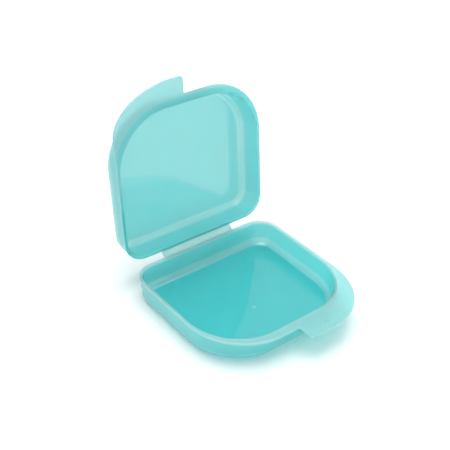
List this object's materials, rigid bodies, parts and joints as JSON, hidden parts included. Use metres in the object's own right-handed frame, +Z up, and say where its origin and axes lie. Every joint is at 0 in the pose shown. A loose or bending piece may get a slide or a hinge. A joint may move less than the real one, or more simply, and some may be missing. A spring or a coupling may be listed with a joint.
{
  "type": "retainer case",
  "caption": "Clamshell case for a dental retainer, with a shallow tray base and lid in one translucent moulding, a web hinge at the back and offset thumb tabs at the front.",
  "frame": {"origin": "centre of the base's flat underside", "axes": "+Z up from the surface it stands on, -Y towards the thumb tabs at the front, +X to the right seen from the front; the hinge is at the back, +Y"},
  "size_m": [0.076, 0.0996, 0.0909],
  "materials": {
    "polypropylene": "translucent turquoise polypropylene, satin outside and glossy inside"
  },
  "bodies": {
    "base": {"base_tray": "polypropylene", "base_rim": "polypropylene", "base_thumb_tab": "polypropylene", "base_hinge_land": "polypropylene"},
    "hinge": {"hinge_strap": "polypropylene", "base_hinge_web": "polypropylene", "lid_hinge_web": "polypropylene"},
    "lid": {"lid_tray": "polypropylene", "lid_rim": "polypropylene", "lid_thumb_tab": "polypropylene", "lid_hinge_land": "polypropylene"}
  },
  "joints": [
    {"name": "base_web_bend", "type": "hinge", "parent": "base", "child": "hinge", "pos_m": [0, 0.0344, 0.01105], "axis": [1, 0, 0], "range_deg": [-41.3, 48.7]},
    {"name": "lid_web_bend", "type": "hinge", "parent": "hinge", "child": "lid", "pos_m": [0, 0.03665, 0.01303], "axis": [1, 0, 0], "range_deg": [-41.3, 48.7]}
  ],
  "couplings": [
    {"joint": "lid_web_bend", "follows": "base_web_bend", "ratio": 1}
  ]
}
